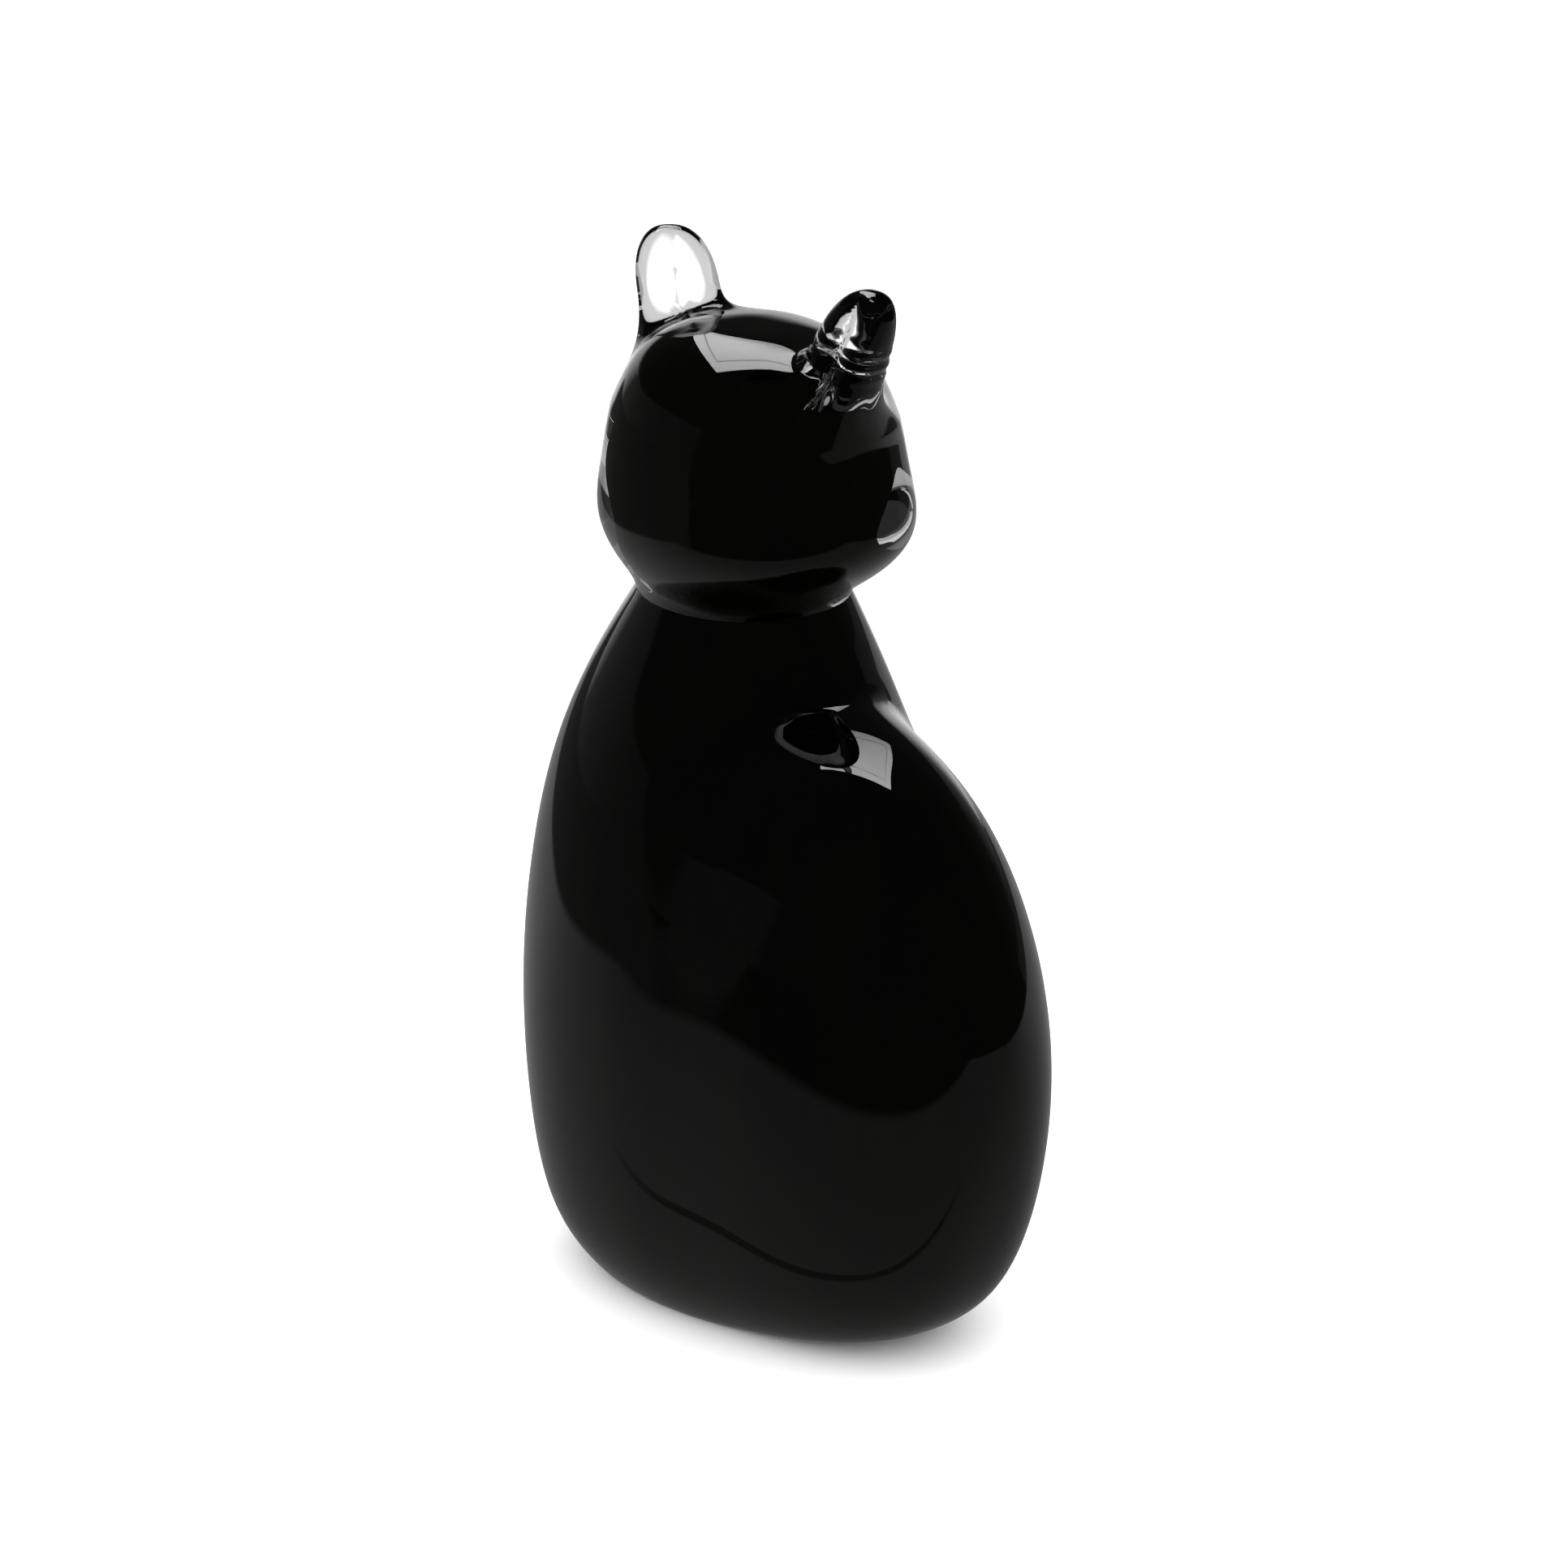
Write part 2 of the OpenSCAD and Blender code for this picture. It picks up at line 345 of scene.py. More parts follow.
def slope(field, p, step=0.02):
    """The field's gradient, over a step in mm."""
    grad = np.empty_like(p)
    for axis in range(3):
        shift = np.zeros(3)
        shift[axis] = step
        grad[:, axis] = (field(p + shift) - field(p - shift)) / (2 * step)
    return grad


# ---------------------------------------------------------------- mesh work


def loft(bm, rings, materials, cap_first=True):
    """Walls through the rings, extruded from a circle; materials holds one index per band."""
    ring = bmesh.ops.create_circle(bm, cap_ends=False, segments=len(rings[0]), radius=1)["verts"]
    for v, co in zip(ring, rings[0]):
        v.co = co
    loops = [list(ring)]
    edges = [e for e in bm.edges if e.verts[0] in set(ring) and e.verts[1] in set(ring)]
    for points, material in zip(rings[1:], materials):
        made = bmesh.ops.extrude_edge_only(bm, edges=edges)["geom"]
        faces = [g for g in made if isinstance(g, bmesh.types.BMFace)]
        verts = {g for g in made if isinstance(g, bmesh.types.BMVert)}
        edges = [
            g
            for g in made
            if isinstance(g, bmesh.types.BMEdge) and g.verts[0] in verts and g.verts[1] in verts
        ]
        follows = {}
        for f in faces:
            f.material_index = material
            for e in f.edges:
                a, b = e.verts
                if a in verts and b not in verts:
                    follows[b] = a
                elif b in verts and a not in verts:
                    follows[a] = b
        ring = [follows[v] for v in ring]
        for v, co in zip(ring, points):
            v.co = co
        loops.append(ring)
    caps = []
    if cap_first:
        caps.append(bm.faces.new(list(reversed(loops[0]))))
        caps[-1].material_index = materials[0]
    caps.append(bm.faces.new(loops[-1]))
    caps[-1].material_index = materials[-1]
    return loops, caps


def round_edges(bm, loop):
    """The edges that join a loop's points, all the way round."""
    return [bm.edges.get((a, b)) for a, b in zip(loop, loop[1:] + loop[:1])]


def finish_piece(bm, name, node, materials):
    """Turns the faces outwards and the millimetres to metres, links the piece into the scene under
    the root body, and hides the CAD part it stands for.
    """
    bmesh.ops.recalc_face_normals(bm, faces=bm.faces)
    if bm.calc_volume(signed=True) < 0:
        bmesh.ops.reverse_faces(bm, faces=bm.faces)
    bmesh.ops.scale(bm, vec=(MM, MM, MM), verts=bm.verts)
    mesh = bpy.data.meshes.new(name)
    bm.to_mesh(mesh)
    bm.free()
    obj = bpy.data.objects.new(name, mesh)
    bpy.context.scene.collection.objects.link(obj)
    for material in materials:
        mesh.materials.append(material)
    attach(obj, "root")
    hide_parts(node)
    return obj


# ---------------------------------------------------------------- materials


def colour(hex_code):
    """sRGB hex to linear."""
    parts = [int(hex_code[i : i + 2], 16) / 255 for i in (1, 3, 5)]
    linear = [c / 12.92 if c <= 0.04045 else ((c + 0.055) / 1.055) ** 2.4 for c in parts]
    return (*linear, 1.0)


def add(tree, kind, links=None, **settings):
    """One node, with links and input values by socket and every other setting by its name."""
    node = tree.nodes.new(kind)
    for key, value in settings.items():
        if key == "inputs":
            for socket, v in value.items():
                node.inputs[socket].default_value = v
        else:
            setattr(node, key, value)
    for socket, source in (links or {}).items():
        tree.links.new(source, node.inputs[socket])
    return node


def new_material(name):
    material = bpy.data.materials.new(name)
    material.use_nodes = True
    material.node_tree.nodes.clear()
    return material, material.node_tree


WAVES_PER_M = 45.0  # hand-worked waves in the fire-polished skin, about 22 mm apart
STREAKS_PER_M = 140.0  # faint upright streaks in the dark glass's colour, about 7 mm apart
STREAK_DRAW = 0.12  # and stretched upright to about 60 mm


def clear_crystal():
    """Clear lead-free crystal, fire-polished: colourless and mirror smooth, with faint waves."""
    material, tree = new_material("clear_crystal_fire_polished")
    coords = add(tree, "ShaderNodeTexCoord")
    waves = add(
        tree,
        "ShaderNodeTexNoise",
        {"Vector": coords.outputs["Object"]},
        inputs={"Scale": WAVES_PER_M, "Detail": 1.0, "Roughness": 0.4},
    )
    bump = add(
        tree,
        "ShaderNodeBump",
        {"Height": waves.outputs[0]},
        inputs={"Strength": 0.25, "Distance": 0.0004},
    )
    glass = add(
        tree,
        "ShaderNodeBsdfPrincipled",
        {"Normal": bump.outputs["Normal"]},
        inputs={
            "Base Color": colour("#ffffff"),
            "Roughness": 0.0,
            "IOR": 1.52,
            "Transmission Weight": 1.0,
        },
    )
    add(tree, "ShaderNodeOutputMaterial", {"Surface": glass.outputs[0]})
    return material


def fused_seam():
    """Where two gathers of clear glass are melted together: nothing is left to see."""
    material, tree = new_material("fused_seam_invisible")
    clear = add(tree, "ShaderNodeBsdfTransparent", inputs={"Color": (1, 1, 1, 1)})
    add(tree, "ShaderNodeOutputMaterial", {"Surface": clear.outputs[0]})
    return material


def dark_core():
    """Moss-black glass, so deep that it looks opaque: its colour lighter and darker at random in
    faint upright streaks.

    It has no mirror of its own, as it is fused to clear glass of the same IOR."""
    material, tree = new_material("moss_black_glass_core")
    coords = add(tree, "ShaderNodeTexCoord")
    stretch = add(
        tree,
        "ShaderNodeMapping",
        {"Vector": coords.outputs["Object"]},
        inputs={"Scale": (1.0, 1.0, STREAK_DRAW)},
    )
    # faint upright streaks of lighter and darker colour, placed at random
    streaks = add(
        tree,
        "ShaderNodeTexNoise",
        {"Vector": stretch.outputs[0]},
        inputs={"Scale": STREAKS_PER_M, "Detail": 3.0, "Roughness": 0.6},
    )
    ramp = add(tree, "ShaderNodeValToRGB", {"Fac": streaks.outputs[0]})
    ramp.color_ramp.elements[0].position = 0.35
    ramp.color_ramp.elements[0].color = colour("#090b06")
    ramp.color_ramp.elements[1].position = 0.75
    ramp.color_ramp.elements[1].color = colour("#141709")
    body = add(
        tree,
        "ShaderNodeBsdfPrincipled",
        {"Base Color": ramp.outputs[0]},
        inputs={"Roughness": 0.6, "IOR": 1.52, "Specular IOR Level": 0.0},
    )
    add(tree, "ShaderNodeOutputMaterial", {"Surface": body.outputs[0]})
    return material


CLEAR, SEAM = 0, 1
clear = clear_crystal()
seam = fused_seam()
dark = dark_core()

# ---------------------------------------------------------------- body pieces

outer = body_rings(BODY_RINGS, False)
cavity = body_rings(CORE_RINGS, True)

bm = bmesh.new()
loops, caps = loft(
    bm,
    outer + cavity[::-1],
    [CLEAR] * (len(outer) - 1) + [SEAM] * len(cavity),
)
# sharp at the ground edge of the base and at both edges of the neck's joint
for k in (0, len(outer) - 1, len(outer)):
    for edge in round_edges(bm, loops[k]):
        edge.smooth = False
for f in bm.faces:
    f.smooth = f not in caps
finish_piece(bm, "body_casing_glass", "body_casing", [clear, seam])


SAME_LEVEL = 1e-4


def swell(bm, grow):
    """Pushes the surface out along its normals, but not past the neck's joint."""
    bmesh.ops.recalc_face_normals(bm, faces=bm.faces)
    bm.normal_update()
    for v in bm.verts:
        flat = abs(v.co.z - NECK_Z) < SAME_LEVEL
        v.co += v.normal * grow
        if flat:
            v.co.z = NECK_Z


bm = bmesh.new()
loops, caps = loft(bm, cavity, [0] * CORE_RINGS)
swell(bm, CORE_OVERLAP)
for f in bm.faces:
    f.smooth = f not in caps
finish_piece(bm, "body_core_glass", "body_core", [dark])

# ---------------------------------------------------------------- head and ears

VOXEL = 0.6
BLANK_BELOW = (-0.1, -0.05)  # shares at which the blank runs on below the neck's joint
EAR_BLANK = ((0.25, 8.0), (0.45, 7.6), (0.65, 6.4), (0.8, 4.8))  # share up the ear, radius
SETTLE_ROUNDS = 12
EVENING = 0.5  # share of the way that a point moves to the middle of its neighbours
LAYING_ROUNDS = 3
LONGEST_STEP = 1.5
LEFT_ALONE = 2.6  # points this far below the neck's joint are cut off, so they stay put
TINY = 1e-9
EAR_CUT_Z = 178.0
EAR_SIDE = 4.0  # an ear lies at least this far to its own side of the head's middle
EAR_RIM_Z = NECK_Z + 20  # a casing's open rim above this is an ear's, and below it the neck's
SNAP = 0.2  # points this near to an ear's cut are taken as on it, so that no slivers are left


def head_blank():
    """The skull's skin and rough gathers for the ears, run together by a voxel remesh."""
    bm = bmesh.new()
    rings = [head_ring(share, False) for share in BLANK_BELOW] + head_rings(False)
    loft(bm, rings, [CLEAR] * (len(rings) - 1))
    for ear in EARS.values():
        root, tip = np.array(ear["root"]), np.array(ear["tip"])
        for share, size in EAR_BLANK:
            made = bmesh.ops.create_icosphere(bm, subdivisions=4, radius=size)["verts"]
            bmesh.ops.translate(bm, vec=root + (tip - root) * share, verts=made)
    bmesh.ops.recalc_face_normals(bm, faces=bm.faces)
    mesh = bpy.data.meshes.new("head_blank")
    bm.to_mesh(mesh)
    bm.free()
    obj = bpy.data.objects.new("head_blank", mesh)
    bpy.context.scene.collection.objects.link(obj)
    remesh = obj.modifiers.new("run_together", "REMESH")
    remesh.mode = "VOXEL"
    remesh.voxel_size = VOXEL
    settled = obj.evaluated_get(bpy.context.evaluated_depsgraph_get()).to_mesh()
    out = bmesh.new()
    out.from_mesh(settled)
    bpy.data.objects.remove(obj)
    bpy.data.meshes.remove(mesh)
    return out


def unit(g):
    return g / (np.linalg.norm(g, axis=1)[:, None] + TINY)


def settle(bm, field):
    """Evens the points out and lays them on the finished surface."""
    bm.verts.index_update()
    links = np.array([[e.verts[0].index, e.verts[1].index] for e in bm.edges])
    p = np.array([v.co[:] for v in bm.verts])
    count = np.bincount(links.ravel(), minlength=len(p))[:, None]
    free = (p[:, 2] > NECK_Z - LEFT_ALONE)[:, None]
    for _ in range(SETTLE_ROUNDS):
        mean = np.zeros_like(p)
        for axis in range(3):
            for here, there in (links.T, links.T[::-1]):
                mean[:, axis] += np.bincount(here, p[there, axis], len(p))
        pull = mean / count - p
        g = unit(slope(field, p))
        pull -= g * (pull * g).sum(axis=1)[:, None]
        p = np.where(free, p + EVENING * pull, p)
        for _ in range(LAYING_ROUNDS):
            g = slope(field, p)
            step = -field(p)[:, None] * g / ((g * g).sum(axis=1)[:, None] + TINY)
            length = np.linalg.norm(step, axis=1)[:, None] + TINY
            p = np.where(free, p + step * np.minimum(1, LONGEST_STEP / length), p)
    for v, co in zip(bm.verts, p):
        v.co = co


skull = head_blank()
settle(skull, cat_head)
bmesh.ops.bisect_plane(
    skull,
    geom=skull.verts[:] + skull.edges[:] + skull.faces[:],
    plane_co=(0, 0, NECK_Z),
    plane_no=(0, 0, 1),
    clear_inner=True,
)
# each ear is cut off across its axis
cuts = {}
for name, ear in EARS.items():
    root, tip = Vector(ear["root"]), Vector(ear["tip"])
    axis = (tip - root).normalized()
    point = root.lerp(tip, (EAR_CUT_Z - root.z) / (tip.z - root.z))
    side = 1 if root.x > 0 else -1
    near = [f for f in skull.faces if (f.calc_center_median().x - HEAD_SHIFT) * side > EAR_SIDE]
    geom = set(near)
    for f in near:
        geom.update(f.verts)
        geom.update(f.edges)
    bmesh.ops.bisect_plane(skull, geom=list(geom), plane_co=point, plane_no=axis, dist=SNAP)
    cuts[name] = (point, axis, side)


def beyond(face, cut):
    """Whether a face belongs to the ear that this cut takes off."""
    point, axis, side = cut
    middle = face.calc_center_median()
    return (middle.x - HEAD_SHIFT) * side > EAR_SIDE and (middle - point).dot(axis) > 0


def take(source, keep):
    """A copy of the skull with only the faces that keep says yes to."""
    bm = source.copy()
    bmesh.ops.delete(bm, geom=[f for f in bm.faces if not keep(f)], context="FACES")
    return bm


def close_with_seam(bm, flat_edges):
    """Fills an open rim with the face where two clear pieces are fused."""
    made = bmesh.ops.triangle_fill(bm, use_beauty=True, use_dissolve=False, edges=flat_edges)
    for g in made["geom"]:
        if isinstance(g, bmesh.types.BMFace):
            g.material_index = SEAM
            g.smooth = False


def lay_normals(obj, field):
    """Shading normals straight from the finished form, so that the clear faces are flawless."""
    mesh = obj.data
    co = np.empty(len(mesh.vertices) * 3)
    mesh.vertices.foreach_get("co", co)
    p = co.reshape(-1, 3) / MM
    g = unit(slope(field, p))
    flat = np.empty(len(mesh.polygons) * 3)
    mesh.polygons.foreach_get("normal", flat)
    flat = flat.reshape(-1, 3)
    normals = np.empty((len(mesh.loops), 3))
    for face in mesh.polygons:
        for k in face.loop_indices:
            clear_face = face.material_index == CLEAR
            normals[k] = g[mesh.loops[k].vertex_index] if clear_face else flat[face.index]
    mesh.normals_split_custom_set(normals.tolist())


for f in skull.faces:
    f.smooth = True
    f.material_index = CLEAR

for name, cut in cuts.items():
    bm = take(skull, lambda f: beyond(f, cut))
    close_with_seam(bm, [e for e in bm.edges if e.is_boundary])
    lay_normals(finish_piece(bm, name + "_glass", name, [clear, seam]), cat_head)

bm = take(skull, lambda f: not any(beyond(f, cut) for cut in cuts.values()))
skull.free()
for _, _, side in cuts.values():
    rim = [
        e
        for e in bm.edges
        if e.is_boundary
        and all(v.co.z > EAR_RIM_Z and (v.co.x - HEAD_SHIFT) * side > 0 for v in e.verts)
    ]
    close_with_seam(bm, rim)
neck_rim = [e for e in bm.edges if e.is_boundary]
loops, caps = loft(bm, head_rings(True), [SEAM] * HEAD_CORE_RINGS, cap_first=False)
close_with_seam(bm, neck_rim + round_edges(bm, loops[0]))
head_casing = finish_piece(bm, "head_casing_glass", "head_casing", [clear, seam])
lay_normals(head_casing, cat_head)

bm = bmesh.new()
loops, caps = loft(bm, head_rings(True), [0] * HEAD_CORE_RINGS)
swell(bm, CORE_OVERLAP)
for f in bm.faces:
    f.smooth = f not in caps
finish_piece(bm, "head_core_glass", "head_core", [dark])

# ---------------------------------------------------------------- studio

AZIMUTH = math.radians(50.7)
ELEVATION = math.radians(20.3)
DISTANCE = 1.2
LENS = 156.5  # in mm, as is the sensor's width; the other lengths of the studio are in metres
SENSOR = 36
AIM_Z = 0.0915
FRAMING = 0.00669  # the object stands this far left of the picture's middle, at its distance

right = Vector((math.cos(AZIMUTH), math.sin(AZIMUTH), 0))
ahead = Vector((math.sin(AZIMUTH), -math.cos(AZIMUTH), 0))
target = Vector((0, 0, AIM_Z)) + right * FRAMING
towards = Vector(
    (
        math.sin(AZIMUTH) * math.cos(ELEVATION),
        -math.cos(AZIMUTH) * math.cos(ELEVATION),
        math.sin(ELEVATION),
    )
)
camera_data = bpy.data.cameras.new("camera")
camera_data.lens = LENS
camera_data.sensor_width = SENSOR
camera_data.clip_start = 0.05
camera_data.clip_end = 50
camera = bpy.data.objects.new("camera", camera_data)
camera.location = target + towards * DISTANCE
camera.rotation_euler = (-towards).to_track_quat("-Z", "Y").to_euler()
bpy.context.scene.collection.objects.link(camera)
bpy.context.scene.camera = camera
bpy.context.scene.view_settings.view_transform = "Standard"


PAPER_LIGHT = 2.2  # over-lights the paper, so that only the tightest shadow is left on it
PAPER = (0.9, 0.9, 0.9, 1)
DARK_CLOTH = 0.025
# how bright the studio's walls are, by bearing in degrees: 0 is the viewer's side, 90 the right
STUDIO_WALLS = (
    (-180, 1.0),
    (-150, 0.9),
    (-135, 0.12),
    (-100, 0.075),
    (-66, 0.06),
    (-63, DARK_CLOTH),
    (100, 0.02),
    (130, 0.03),
    (150, 0.15),
    (162, 0.9),
    (180, 1.0),
)
WALL_LEAN = -0.4  # the walls' edges lean: their bearing shifts by this share of the height
SWEEP_TOP = (math.radians(8), math.radians(16))  # where the lit sweep ends above the horizon


def studio_world():
    """A white sweep behind the object and dark cloth in front, which only the glass sees."""
    world = bpy.data.worlds.new("studio")
    bpy.context.scene.world = world
    world.use_nodes = True
    tree = world.node_tree
    tree.nodes.clear()
    coords = add(tree, "ShaderNodeTexCoord")
    turn = add(
        tree,
        "ShaderNodeMapping",
        {"Vector": coords.outputs["Generated"]},
        inputs={"Rotation": (0, 0, math.pi / 2 - AZIMUTH)},
    )
    parts = add(tree, "ShaderNodeSeparateXYZ", {"Vector": turn.outputs[0]})
    # after the turn, +X points from the object towards the camera and +Y to the picture's right
    bearing = add(
        tree,
        "ShaderNodeMath",
        {0: parts.outputs["Y"], 1: parts.outputs["X"]},
        operation="ARCTAN2",
    )
    height = add(tree, "ShaderNodeMath", {0: parts.outputs["Z"]}, operation="ARCSINE")
    leaning = add(
        tree,
        "ShaderNodeMath",
        {0: height.outputs[0], 2: bearing.outputs[0]},
        operation="MULTIPLY_ADD",
        inputs={1: WALL_LEAN},
    )
    share = add(
        tree,
        "ShaderNodeMapRange",
        {"Value": leaning.outputs[0]},
        inputs={"From Min": -math.pi, "From Max": math.pi},
    )
    ramp = add(tree, "ShaderNodeValToRGB", {"Fac": share.outputs[0]})
    while len(ramp.color_ramp.elements) < len(STUDIO_WALLS):
        ramp.color_ramp.elements.new(0.5)
    for element, (angle, level) in zip(ramp.color_ramp.elements, STUDIO_WALLS):
        element.position = (angle + 180) / 360
        element.color = (level, level, level, 1)
    # the sweep stops a little above the horizon, with a dark gap up to the softbox
    top = add(
        tree,
        "ShaderNodeMapRange",
        {"Value": height.outputs[0]},
        interpolation_type="SMOOTHSTEP",
        inputs={
            "From Min": SWEEP_TOP[0],
            "From Max": SWEEP_TOP[1],
            "To Min": 1.0,
            "To Max": DARK_CLOTH,
        },
    )
    level = add(
        tree,
        "ShaderNodeMath",
        {0: ramp.outputs[0], 1: top.outputs[0]},
        operation="MINIMUM",
    )
    path = add(tree, "ShaderNodeLightPath")
    seen = add(
        tree,
        "ShaderNodeMath",
        {0: path.outputs["Is Camera Ray"], 1: path.outputs["Is Diffuse Ray"]},
        operation="MAXIMUM",
    )
    dim = add(tree, "ShaderNodeBackground", {"Color": level.outputs[0]}, inputs={"Strength": 1.0})
    white = add(
        tree,
        "ShaderNodeBackground",
        inputs={"Color": (1, 1, 1, 1), "Strength": PAPER_LIGHT},
    )
    mixed = add(
        tree, "ShaderNodeMixShader", {0: seen.outputs[0], 1: dim.outputs[0], 2: white.outputs[0]}
    )
    add(tree, "ShaderNodeOutputWorld", {"Surface": mixed.outputs[0]})


studio_world()


def stage_plane(name, corners, material):
    bm = bmesh.new()
    bm.faces.new([bm.verts.new(c) for c in corners])
    mesh = bpy.data.meshes.new(name)
    bm.to_mesh(mesh)
    bm.free()
    mesh.materials.append(material)
    obj = bpy.data.objects.new(name, mesh)
    bpy.context.scene.collection.objects.link(obj)
    return obj


# The table as the glass mirrors it, painted as a glow into the paper that only mirrored and
# refracted rays see, in metres ahead of the object (towards the viewer) and to its right; each pair
# of places is where an edge starts and where it is complete.
TABLE_DEPTH = (-0.15, 0.1)
TABLE_LEVEL = (0.34, 0.13)  # its brightness at the back and at the front of that depth
TABLE_LEFT = (-0.33, -0.3)
TABLE_RIGHT = (0.62, 0.56)
TABLE_FRONT = (-0.01, 0.02)
TABLE_SLANT = (0.41, 0.22)  # the front edge's slope, and how far ahead it is
BOARD_JOINT = (0.1585, 0.0014)  # how far inside the front edge it is, and its half width
JOINT_SHADE = -0.6
JOINT_REACH = (0.05, 0.09)
CLOTH_BEARING = math.radians(66)  # where the dim cloth to the left ends and the dark one starts
CLOTH_LEVEL = (0.02, 0.065)
CLOTH_EDGE = 0.01
SWEEP_START = (-0.1, -0.3)
SWEEP_SPREAD = 1.7  # the lit part of the sweep widens by 1 for each 1.7 it runs back
THROUGH_GLASS = 0.35  # how much brighter the paper's painted glow is where it is seen through clear glass


def floor_paper():
    """White paper sweep, over-lit to the eye; where the glass mirrors it, it is dimmer and glows
    with a painted reflection of a table and cloth.
    """
    material, tree = new_material("white_paper_sweep")
    paper = add(tree, "ShaderNodeBsdfDiffuse", inputs={"Color": PAPER})
    coords = add(tree, "ShaderNodeTexCoord")
    ahead_of = add(
        tree,
        "ShaderNodeVectorMath",
        {0: coords.outputs["Object"]},
        operation="DOT_PRODUCT",
        inputs={1: ahead},
    )
    right_of = add(
        tree,
        "ShaderNodeVectorMath",
        {0: coords.outputs["Object"]},
        operation="DOT_PRODUCT",
        inputs={1: right},
    )
    # near the object it is dim, and darkest towards the viewer; behind, it is lit white
    near = add(
        tree,
        "ShaderNodeMapRange",
        {"Value": ahead_of.outputs["Value"]},
        inputs={
            "From Min": TABLE_DEPTH[0],
            "From Max": TABLE_DEPTH[1],
            "To Min": TABLE_LEVEL[0],
            "To Max": TABLE_LEVEL[1],
        },
    )
    aside = add(tree, "ShaderNodeMath", {0: right_of.outputs["Value"]}, operation="ABSOLUTE")
    wedge = add(
        tree,
        "ShaderNodeMath",
        {0: aside.outputs[0], 2: ahead_of.outputs["Value"]},
        operation="MULTIPLY_ADD",
        inputs={1: SWEEP_SPREAD},
    )
    behind = add(
        tree,
        "ShaderNodeMapRange",
        {"Value": wedge.outputs[0]},
        inputs={"From Min": SWEEP_START[0], "From Max": SWEEP_START[1]},
    )
    # the table's two side edges, and its front edge, which runs at a slant
    left_edge = add(
        tree,
        "ShaderNodeMapRange",
        {"Value": right_of.outputs["Value"]},
        inputs={"From Min": TABLE_LEFT[0], "From Max": TABLE_LEFT[1]},
    )
    right_edge = add(
        tree,
        "ShaderNodeMapRange",
        {"Value": right_of.outputs["Value"]},
        inputs={"From Min": TABLE_RIGHT[0], "From Max": TABLE_RIGHT[1]},
    )
    sides = add(
        tree,
        "ShaderNodeMath",
        {0: left_edge.outputs[0], 1: right_edge.outputs[0]},
        operation="MULTIPLY",
    )
    slant = add(
        tree,
        "ShaderNodeMath",
        {0: right_of.outputs["Value"]},
        operation="MULTIPLY_ADD",
        inputs={1: TABLE_SLANT[0], 2: TABLE_SLANT[1]},
    )
    inside_front = add(
        tree,
        "ShaderNodeMath",
        {0: slant.outputs[0], 1: ahead_of.outputs["Value"]},
        operation="SUBTRACT",
    )
    front_edge = add(
        tree,
        "ShaderNodeMapRange",
        {"Value": inside_front.outputs[0]},
        inputs={"From Min": TABLE_FRONT[0], "From Max": TABLE_FRONT[1]},
    )
    on_table = add(
        tree,
        "ShaderNodeMath",
        {0: sides.outputs[0], 1: front_edge.outputs[0]},
        operation="MULTIPLY",
    )
    # past the table it is as dark as the cloth: dim to the left, nearly black ahead
    leftwards = add(
        tree,
        "ShaderNodeVectorMath",
        {0: coords.outputs["Object"]},
        operation="DOT_PRODUCT",
        inputs={1: ahead * -math.sin(CLOTH_BEARING) - right * math.cos(CLOTH_BEARING)},
    )
    past = add(
        tree,
        "ShaderNodeMapRange",
        {"Value": leftwards.outputs["Value"]},
        inputs={
            "From Min": -CLOTH_EDGE,
            "From Max": CLOTH_EDGE,
            "To Min": CLOTH_LEVEL[0],
            "To Max": CLOTH_LEVEL[1],
        },
    )
    # a joint in the table's boards, in line with its front edge
    joint = add(
        tree,
        "ShaderNodeMath",
        {0: inside_front.outputs[0]},
        operation="COMPARE",
        inputs={1: BOARD_JOINT[0], 2: BOARD_JOINT[1]},
    )
    short = add(
        tree,
        "ShaderNodeMapRange",
        {"Value": aside.outputs[0]},
        inputs={
            "From Min": JOINT_REACH[0],
            "From Max": JOINT_REACH[1],
            "To Min": JOINT_SHADE,
            "To Max": 0.0,
        },
    )
    dip = add(
        tree,
        "ShaderNodeMath",
        {0: joint.outputs[0], 1: short.outputs[0]},
        operation="MULTIPLY_ADD",
        inputs={2: 1.0},
    )
    boards = add(
        tree, "ShaderNodeMath", {0: near.outputs[0], 1: dip.outputs[0]}, operation="MULTIPLY"
    )
    table = add(
        tree,
        "ShaderNodeMix",
        {"Factor": on_table.outputs[0], "A": past.outputs[0], "B": boards.outputs[0]},
    )
    level = add(
        tree,
        "ShaderNodeMath",
        {0: table.outputs[0], 1: behind.outputs[0]},
        operation="MAXIMUM",
    )
    path = add(tree, "ShaderNodeLightPath")
    through = add(
        tree,
        "ShaderNodeMath",
        {0: path.outputs["Is Transmission Ray"], 2: level.outputs[0]},
        operation="MULTIPLY_ADD",
        inputs={1: THROUGH_GLASS},
    )
    # painted reflection: to mirrored and refracted rays the paper glows with this pattern, though
    # it is no lamp
    mirror = add(tree, "ShaderNodeEmission", {"Strength": through.outputs[0]})
    seen = add(
        tree,
        "ShaderNodeMath",
        {0: path.outputs["Is Camera Ray"], 1: path.outputs["Is Diffuse Ray"]},
        operation="MAXIMUM",
    )
    mixed = add(
        tree, "ShaderNodeMixShader", {0: seen.outputs[0], 1: mirror.outputs[0], 2: paper.outputs[0]}
    )
    add(tree, "ShaderNodeOutputMaterial", {"Surface": mixed.outputs[0]})
    return material


FLOOR_DROP = -0.0002
FLOOR_SIZE = 3.0
corners = [(x * FLOOR_SIZE, y * FLOOR_SIZE) for x, y in ((-1, -1), (1, -1), (1, 1), (-1, 1))]
stage_plane("paper_floor", [(x, y, FLOOR_DROP) for x, y in corners], floor_paper())

# the sewn line's place from the cloth's middle and half width, as shares of it, and its shade
SEWN_LINE = (0.36, 0.008, -0.55)
SOFTBOX_GLOW = (2.2, 7.0)  # at the far end and at the near end, over the object
SECOND_MIRROR = 0.12


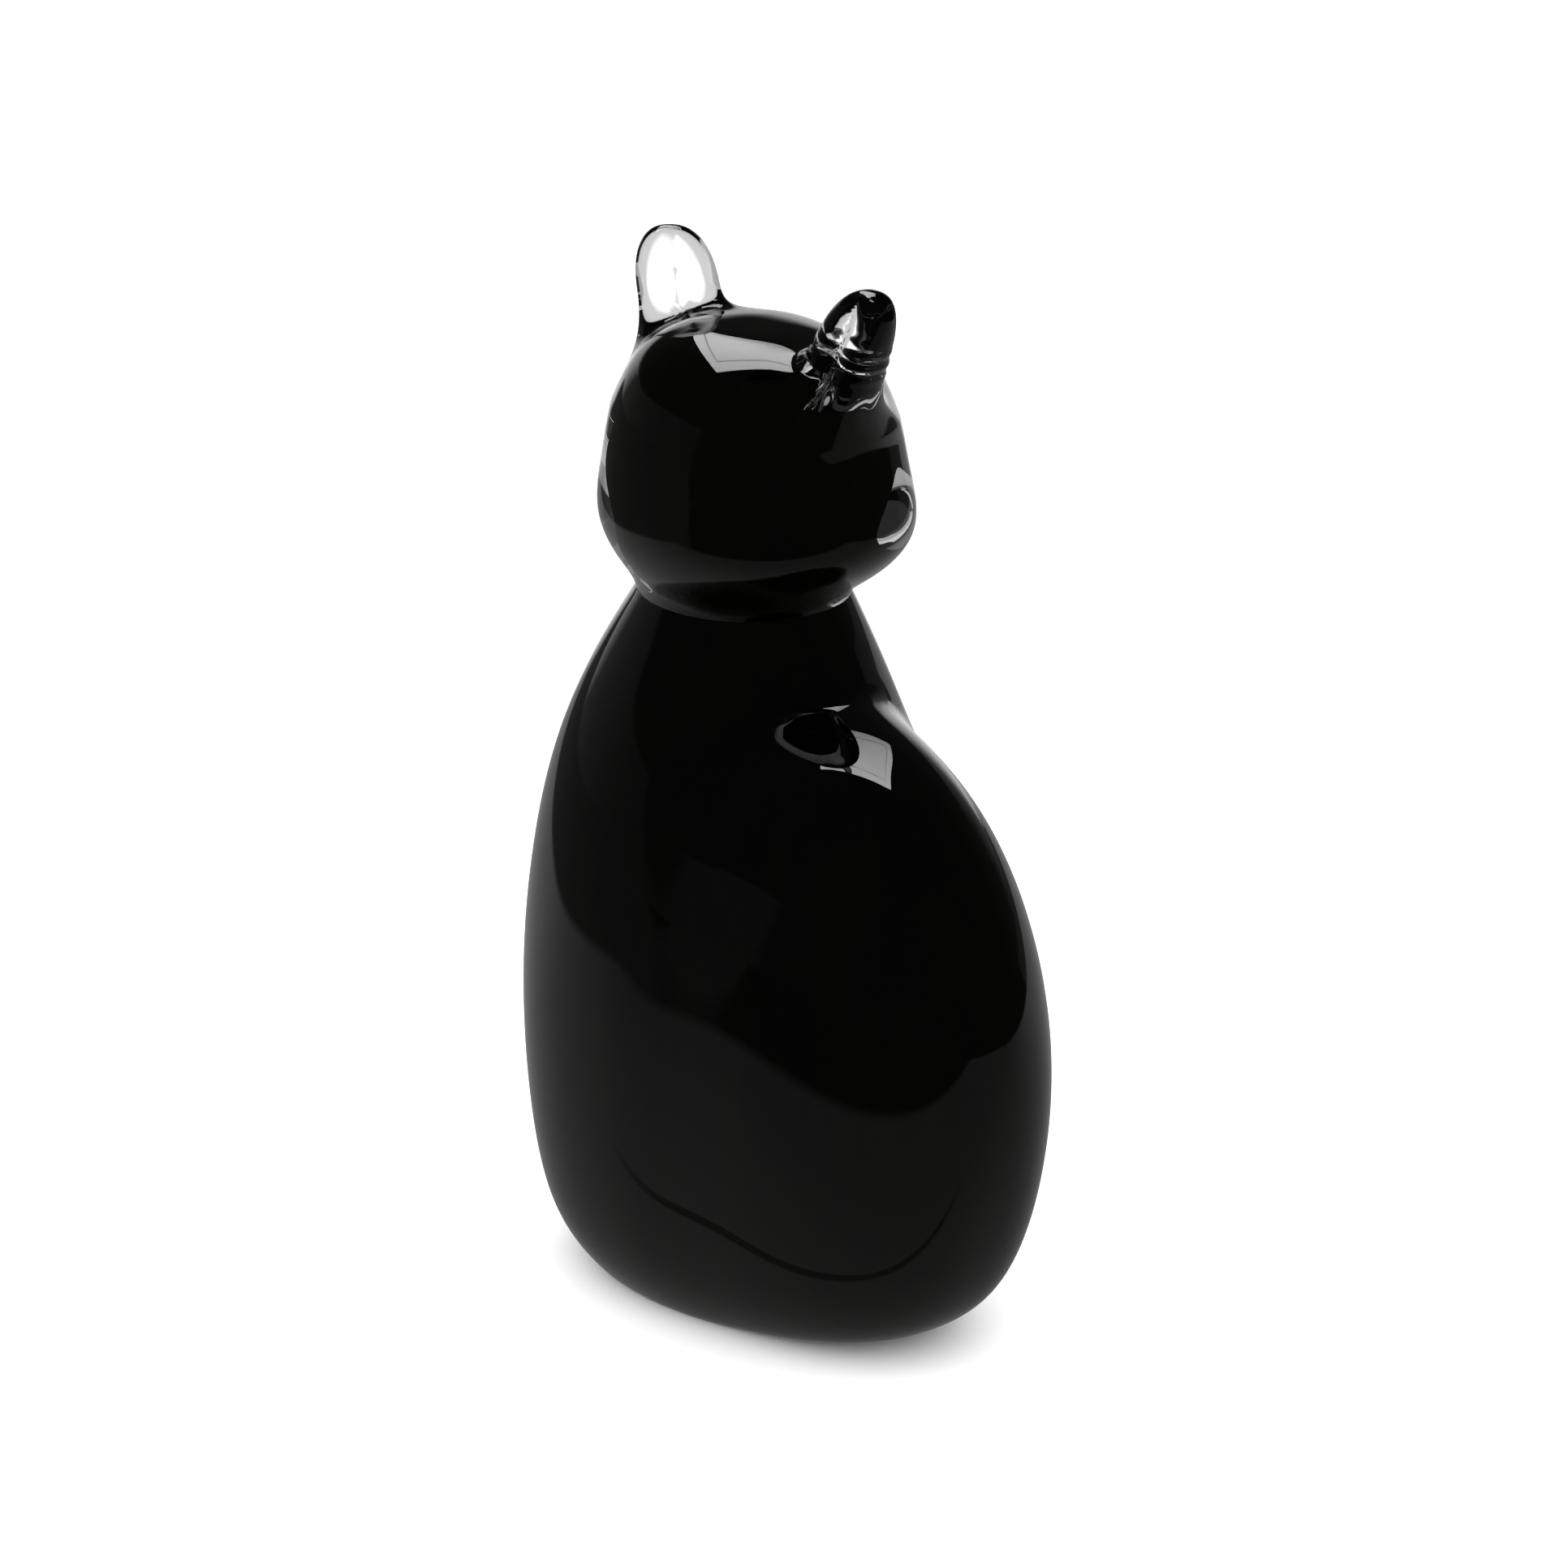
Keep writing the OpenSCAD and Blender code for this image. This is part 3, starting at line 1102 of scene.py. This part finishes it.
def softbox_cloth():
    """White diffuser cloth with a sewn line inside its border."""
    material, tree = new_material("softbox_cloth")
    coords = add(tree, "ShaderNodeTexCoord")
    parts = add(tree, "ShaderNodeSeparateXYZ", {"Vector": coords.outputs["UV"]})
    reaches = []
    for axis in ("X", "Y"):
        shifted = add(
            tree, "ShaderNodeMath", {0: parts.outputs[axis]}, operation="SUBTRACT", inputs={1: 0.5}
        )
        reaches.append(add(tree, "ShaderNodeMath", {0: shifted.outputs[0]}, operation="ABSOLUTE"))
    reach = add(
        tree,
        "ShaderNodeMath",
        {0: reaches[0].outputs[0], 1: reaches[1].outputs[0]},
        operation="MAXIMUM",
    )
    seam_at = add(
        tree,
        "ShaderNodeMath",
        {0: reach.outputs[0]},
        operation="COMPARE",
        inputs={1: SEWN_LINE[0], 2: SEWN_LINE[1]},
    )
    drop = add(
        tree,
        "ShaderNodeMath",
        {0: seam_at.outputs[0]},
        operation="MULTIPLY_ADD",
        inputs={1: SEWN_LINE[2], 2: 1.0},
    )
    # brighter at the near end, over the object
    near = add(
        tree,
        "ShaderNodeMapRange",
        {"Value": parts.outputs["X"]},
        inputs={"To Min": SOFTBOX_GLOW[0], "To Max": SOFTBOX_GLOW[1]},
    )
    strength = add(
        tree, "ShaderNodeMath", {0: drop.outputs[0], 1: near.outputs[0]}, operation="MULTIPLY"
    )
    # a mirror image seen in another mirror image is held back, so that none rings the haunch
    path = add(tree, "ShaderNodeLightPath")
    second = add(
        tree,
        "ShaderNodeMapRange",
        {"Value": path.outputs["Ray Depth"]},
        inputs={"From Min": 1.0, "From Max": 2.0, "To Min": 1.0, "To Max": SECOND_MIRROR},
    )
    held = add(
        tree, "ShaderNodeMath", {0: strength.outputs[0], 1: second.outputs[0]}, operation="MULTIPLY"
    )
    glow = add(tree, "ShaderNodeEmission", {"Strength": held.outputs[0]})
    add(tree, "ShaderNodeOutputMaterial", {"Surface": glow.outputs[0]})
    return material


# softboxes over and behind the object: how far ahead and to the right their corners are
SOFTBOX_Z = 0.4
SOFTBOXES = {
    "softbox_left": ((-0.497, -0.073), (-0.024, -0.112), (-0.056, 0.039), (-0.259, 0.048)),
    "softbox_right": ((-0.21, 0.09), (0.034, -0.055), (-0.022, 0.163), (-0.28, 0.2)),
}
# flags keep each softbox off the rest: which pieces mirror it
MIRRORED_BY = {
    "softbox_left": ("head_casing_glass", "ear_left_glass", "ear_right_glass"),
    "softbox_right": ("body_casing_glass",),
}
for name, plan in SOFTBOXES.items():
    softbox = stage_plane(
        name,
        [ahead * a + right * b + Vector((0, 0, SOFTBOX_Z)) for a, b in plan],
        softbox_cloth(),
    )
    uv = softbox.data.uv_layers.new(name="cloth")
    for corner, place in zip(uv.data, ((0, 0), (1, 0), (1, 1), (0, 1))):
        corner.uv = place
    softbox.visible_camera = False
    softbox.visible_diffuse = False
    softbox.visible_shadow = False
    flagged = bpy.data.collections.new(name + "_reach")
    for piece in MIRRORED_BY[name]:
        flagged.objects.link(bpy.data.objects[piece])
    softbox.light_linking.receiver_collection = flagged
